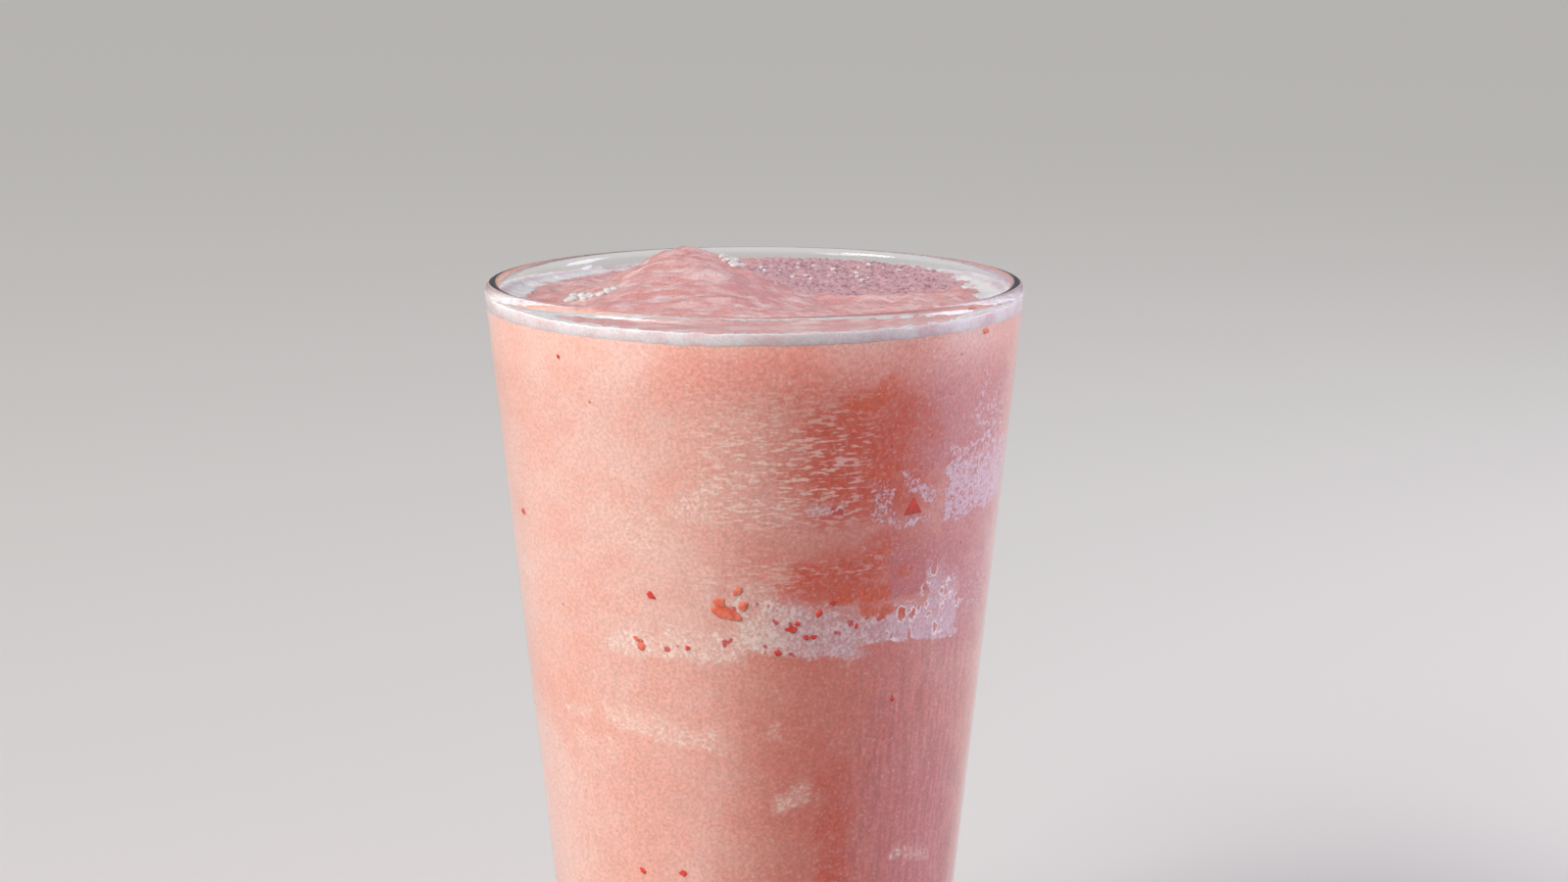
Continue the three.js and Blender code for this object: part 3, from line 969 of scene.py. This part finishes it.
def make_drink():
    """The drink: a fine grid drawn onto a disc for its surface, extruded down the wall."""
    shape = bmesh.new()
    bmesh.ops.create_grid(shape, x_segments=SURFACE_CELLS, y_segments=SURFACE_CELLS, size=1)
    side_top = GLASS_HEIGHT + FROTH_BOTTOM + SIDE_OVER_FROTH
    side = list(reversed(cavity_profile(-DRINK_IN_WALL, side_top)))
    edge = side[0][0]
    for vert in shape.verts:
        x, y = disc_place(vert.co.x, vert.co.y)
        rim = math.hypot(x, y)
        x *= edge
        y *= edge
        at_edge = smooth(EDGE_FROM, 1, rim)
        height = mix(surface_height(x, y), side_top - GLASS_HEIGHT, at_edge)
        vert.co = (x, y, GLASS_HEIGHT + height)
    for face in shape.faces:
        face.material_index = 1
    ring = [each for each in shape.edges if each.is_boundary]
    wall_foot = side[1]
    steps = [
        (mix(edge, wall_foot[0], i / WALL_ROWS), mix(side_top, wall_foot[1], i / WALL_ROWS))
        for i in range(1, WALL_ROWS + 1)
    ]
    for radius, height in steps + side[2:-1]:
        made = bmesh.ops.extrude_edge_only(shape, edges=ring)["geom"]
        ring = [each for each in made if isinstance(each, bmesh.types.BMEdge) and each.is_boundary]
        for vert in made:
            if isinstance(vert, bmesh.types.BMVert):
                flat = vert.co.xy.normalized() * radius
                vert.co = (flat.x, flat.y, height)
        for face in made:
            if isinstance(face, bmesh.types.BMFace):
                face.material_index = 0
    made = bmesh.ops.extrude_edge_only(shape, edges=ring)["geom"]
    last = [each for each in made if isinstance(each, bmesh.types.BMVert)]
    bmesh.ops.pointmerge(shape, verts=last, merge_co=(0, 0, side[-1][1]))
    for face in shape.faces:
        if face.calc_center_median().z < side_top:
            face.material_index = 0
    materials = [slush_side_material(), slush_top_material()]
    return finish_piece(shape, "slush", materials, "frozen_lemonade")


def make_froth():
    """The froth: a ring that climbs the wall, with a soft top and uneven bubbly edges."""
    bottom = GLASS_HEIGHT + FROTH_BOTTOM
    toe = GLASS_HEIGHT + DRINK_LEVEL + FROTH_TOE
    # The section: how far in from the wall, and how high between the toe and the top, as
    # shares. A rise below 0 is a share of the way down to the bottom.
    section = [(0.14, -1.1), (0.07, -0.95), (0, -0.75), (0, 0.5)]
    for i in range(FROTH_TOP_STEPS + 1):
        share = i / FROTH_TOP_STEPS
        section.append((share, (1 - share) ** FROTH_TOP_CURVE))
    section += [(0.98, -0.4), (0.9, -1.1), (0.14, -1.1)]
    outer = inner_radius(bottom) + FROTH_IN_WALL
    shape = bmesh.new()
    turn_profile(shape, [(outer - share, rise) for share, rise in section], FROTH_STEPS)
    for vert in shape.verts:
        x, y, rise = vert.co
        radius = math.hypot(x, y)
        share = outer - radius
        angle = math.atan2(y, x)
        top = GLASS_HEIGHT + around(FROTH_TOPS, angle)
        z = mix(toe, top, rise) if rise >= 0 else mix(toe, bottom, -rise)
        wobble = noise.fractal(Vector((x / 2.4, y / 2.4, 5)), 0.7, 2, 3)
        width = froth_width(angle) * (1 + FROTH_WOBBLE * wobble) + FROTH_IN_WALL
        drawn = outer - share * width + WALL_SLOPE * (z - bottom) * (1 - share)
        bubbles = noise.fractal(Vector((x / 0.9, y / 0.9, 2)), 0.7, 2, 3)
        z += (FROTH_RELIEF * wobble + BUBBLE_RELIEF * bubbles) * (1 if rise >= 0 else 0.5)
        vert.co = (x * drawn / radius, y * drawn / radius, z)
    return finish_piece(shape, "froth", [froth_material()], "froth_ring")


def lump(shape, centre, radii, turn, roughness, detail=2):
    """A rough lump: a ball drawn out to three radii, turned and distorted by noise."""
    place = Matrix.Translation(centre) @ Euler(turn).to_matrix().to_4x4() @ Matrix.Diagonal(
        (*radii, 1)
    )
    made = bmesh.ops.create_icosphere(shape, subdivisions=detail, radius=1, matrix=place)
    size = sum(radii) / 3
    for vert in made["verts"]:
        away = vert.co - Vector(centre)
        vert.co += away * roughness * noise.noise(vert.co / size * 0.9 + Vector((7, 0, 0)))


# Scatters of ice crumbs: centre x and y, half length, half width, count, smallest and largest
# crumb
ICE_SCATTERS = [
    (-26.5, -5.5, 4.2, 1.5, 26, 0.35, 0.95),
    (-3.6, 6.5, 2.6, 3.2, 24, 0.3, 0.8),
    (-5.0, 33.0, 3.6, 2.2, 26, 0.3, 0.85),
    (12.0, 26.0, 16.0, 9.0, 40, 0.2, 0.42),
]
# Turn from one crumb to the next, in radians, which spreads them evenly
CRUMB_TURN = 2.4
CRUMB_ROUGHNESS = 0.55


def make_ice():
    """Loose crumbs of ice on the surface."""
    random.seed(12)
    shape = bmesh.new()
    for x0, y0, along, across, count, least, most in ICE_SCATTERS:
        for i in range(count):
            reach = math.sqrt((i + 0.5) / count)
            turn = i * CRUMB_TURN + random.uniform(-0.5, 0.5)
            x = x0 + along * reach * math.cos(turn)
            y = y0 + across * reach * math.sin(turn)
            size = random.uniform(least, most)
            z = GLASS_HEIGHT + surface_height(x, y) + size * 0.25
            radii = (size * random.uniform(0.8, 1.4), size, size * random.uniform(0.5, 0.8))
            spin = (random.uniform(-0.4, 0.4), random.uniform(-0.4, 0.4), random.uniform(0, 6))
            lump(shape, (x, y, z), radii, spin, CRUMB_ROUGHNESS)
    return finish_piece(shape, "ice_crumbs", [ice_material()])


# Bits of strawberry against the wall: turn, drop, half width, half height and their own tilt
RED_BITS = [
    (-68.0, 35.9, 0.75, 0.6, 0.3),
    (-24.8, 44.4, 0.85, 0.5, 0.5),
    (-45.3, 8.0, 0.4, 0.3, 0.4),
    (-32.2, 92.1, 0.6, 0.45, 0.5),
    (-19.6, 91.3, 0.6, 0.5, 0.1),
    (8.3, 49.3, 0.75, 0.6, 0.3),
    (12.0, 50.8, 0.45, 0.5, 0.1),
    (9.9, 48.4, 0.5, 0.35, 0.0),
    (15.0, 47.0, 0.5, 0.6, 0.2),
    (18.4, 45.4, 0.6, 0.4, -0.5),
    (24.6, 49.6, 0.35, 0.4, 0.0),
    (5.4, 53.0, 0.55, 0.55, 0.0),
    (14.0, 50.8, 0.5, 0.4, 0.3),
    (36.3, 62.9, 0.35, 0.55, 0.0),
    (-16.0, 52.6, 0.4, 0.4, 0.0),
]
FLESH_BITS = [
    (-6.3, 46.6, 2.1, 1.15, 0.45),
    (-8.1, 44.9, 1.0, 0.9, 0.0),
    (-2.6, 45.4, 0.7, 0.75, 0.4),
    (-3.9, 42.9, 0.75, 0.7, 0.2),
    (-27.6, 53.2, 0.75, 0.7, 0.2),
    (57.0, 5.0, 0.9, 0.5, 0.2),
    (-29.5, 52.0, 0.7, 0.35, 0.5),
]
# A bit with three corners: turn, drop and size
TRIANGLE_BIT = (37.9, 31.4, 2.2)
TRIANGLE_TAPER = 0.8
# Bits on the sides not shown: their number, turns and drops, and the drop of the pour line,
# where they gather
HIDDEN_BITS = 30
HIDDEN_TURNS = (80, 280)
HIDDEN_DROPS = (6, 125)
POUR_LINE_DROP = 49
POUR_LINE_SPREAD = 3
# Half the thickness of a bit
BIT_DEPTH = 0.2
BIT_BEVEL = 0.12
BIT_ROUGHNESS = 0.7


def bit_centre(turn, drop):
    """The middle of a bit, on the drink's side where it meets the wall."""
    centre = Vector(wall_place(turn, drop))
    centre.xy += centre.xy.normalized() * DRINK_IN_WALL
    return centre


def add_triangle_bit(shape):
    """The flat bit with three corners, its edges rounded."""
    turn, drop, size = TRIANGLE_BIT
    facing = Euler((math.pi / 2, 0, math.radians(turn))).to_matrix().to_4x4()
    made = bmesh.ops.create_cone(
        shape,
        cap_ends=True,
        segments=3,
        radius1=size,
        radius2=size * TRIANGLE_TAPER,
        depth=2 * BIT_DEPTH,
        matrix=Matrix.Translation(bit_centre(turn, drop)) @ facing,
    )
    edges = {edge for vert in made["verts"] for edge in vert.link_edges}
    bmesh.ops.bevel(
        shape,
        geom=list(edges),
        offset=BIT_BEVEL,
        affect="EDGES",
        segments=3,
        profile=0.5,
        material=-1,
    )


def flat_bits(bits):
    """Flat ragged bits against the wall, as a new shape."""
    shape = bmesh.new()
    for turn, drop, width, height, tilt in bits:
        facing = Euler((0, tilt, math.radians(turn)))
        radii = (width, BIT_DEPTH, height)
        lump(shape, bit_centre(turn, drop), radii, facing, BIT_ROUGHNESS, 3)
    return shape


def make_fruit():
    """Strawberry bits that lie in the drink against the wall, all round it."""
    draw = random.Random(5)
    hidden = {"red": [], "flesh": []}
    for _ in range(HIDDEN_BITS):
        kind = draw.choice(("red", "red", "flesh"))
        size = draw.uniform(0.3, 0.8) * (1.7 if kind == "flesh" else 1)
        turn = draw.uniform(*HIDDEN_TURNS)
        at_pour_line = (POUR_LINE_DROP, POUR_LINE_SPREAD)
        drop = draw.choice((draw.uniform(*HIDDEN_DROPS), draw.gauss(*at_pour_line)))
        hidden[kind].append((turn, drop, size, size * draw.uniform(0.6, 1), draw.uniform(-1, 1)))
    red = fruit_material("strawberry_red", FRUIT_RED_DEEP, FRUIT_RED)
    flesh = fruit_material("strawberry_flesh", FRUIT_FLESH_DEEP, FRUIT_FLESH)
    shape = flat_bits(RED_BITS + hidden["red"])
    add_triangle_bit(shape)
    finish_piece(shape, "strawberry_bits", [red])
    shape = flat_bits(FLESH_BITS + hidden["flesh"])
    finish_piece(shape, "strawberry_flesh_bits", [flesh])


# The stage: floor, light and camera

CAMERA_DISTANCE = 396.4
CAMERA_ELEVATION = math.radians(7.71)
CAMERA_PITCH = math.radians(11.6)
LENS = 54.96
SENSOR_WIDTH = 36
PHOTO_WIDTH = 1600
AXIS_PIXEL = 770
FLOOR_RADIUS = 30
KEY_POWER = 1.75
KEY_ANGLE = math.radians(24)
ROOM_STRENGTH = 0.22
LAMP_TARGET = (0, 0, 0.1)


def make_camera():
    """The camera at the viewer's place, at -Y, with the glass's axis left of the middle."""
    data = bpy.data.cameras.new("camera")
    data.lens = LENS
    data.sensor_width = SENSOR_WIDTH
    data.shift_x = (PHOTO_WIDTH / 2 - AXIS_PIXEL) / PHOTO_WIDTH
    data.clip_start = 0.01
    camera = bpy.data.objects.new("camera", data)
    back = CAMERA_DISTANCE * math.cos(CAMERA_ELEVATION)
    up = GLASS_HEIGHT + CAMERA_DISTANCE * math.sin(CAMERA_ELEVATION)
    camera.location = Vector((0, -back, up)) * MM
    camera.rotation_euler = (math.pi / 2 - CAMERA_PITCH, 0, 0)
    bpy.context.scene.collection.objects.link(camera)
    bpy.context.scene.camera = camera


def make_floor():
    """A plain pale floor."""
    shape = bmesh.new()
    bmesh.ops.create_circle(shape, cap_ends=True, segments=64, radius=FLOOR_RADIUS)
    mesh = bpy.data.meshes.new("floor")
    shape.to_mesh(mesh)
    shape.free()
    floor = bpy.data.objects.new("floor", mesh)
    material, tree, shader = new_material("pale_floor")
    shader.inputs["Base Color"].default_value = (0.88, 0.87, 0.85, 1)
    shader.inputs["Roughness"].default_value = 0.8
    mesh.materials.append(material)
    bpy.context.scene.collection.objects.link(floor)


def aim(lamp, place, target):
    """Puts a lamp at a place in metres and turns it to a target."""
    lamp.location = Vector(place)
    lamp.rotation_euler = (Vector(place) - Vector(target)).to_track_quat("Z", "Y").to_euler()
    bpy.context.scene.collection.objects.link(lamp)


def soft_box(name, place, size, power, colour):
    """A flat lamp at a place in metres, turned to the middle of the glass."""
    data = bpy.data.lights.new(name, "AREA")
    data.shape = "RECTANGLE"
    data.size, data.size_y = size
    data.energy = power
    data.color = colour
    aim(bpy.data.objects.new(name, data), place, LAMP_TARGET)


def make_light():
    """A warm key from the left and front, a weak cool fill from the right, and a dim room."""
    sun = bpy.data.lights.new("key", "SUN")
    sun.energy = KEY_POWER
    sun.angle = KEY_ANGLE
    sun.color = (1, 0.965, 0.90)
    aim(bpy.data.objects.new("key", sun), (-1.0, -0.45, 0.95), (0, 0, 0))
    soft_box("left_box", (-0.75, -0.75, 0.75), (0.35, 0.6), 3.5, (1.0, 0.96, 0.92))
    soft_box("right_box", (0.95, 0.05, 0.5), (0.3, 0.7), 5.0, (0.88, 0.84, 1.0))
    world = bpy.data.worlds.new("studio")
    world.use_nodes = True
    background = world.node_tree.nodes["Background"]
    background.inputs[0].default_value = (0.86, 0.87, 0.95, 1)
    background.inputs[1].default_value = ROOM_STRENGTH
    bpy.context.scene.world = world


make_camera()
make_glass()
make_drink()
make_froth()
make_ice()
make_fruit()
make_floor()
make_light()
bpy.context.scene.view_settings.view_transform = "Standard"
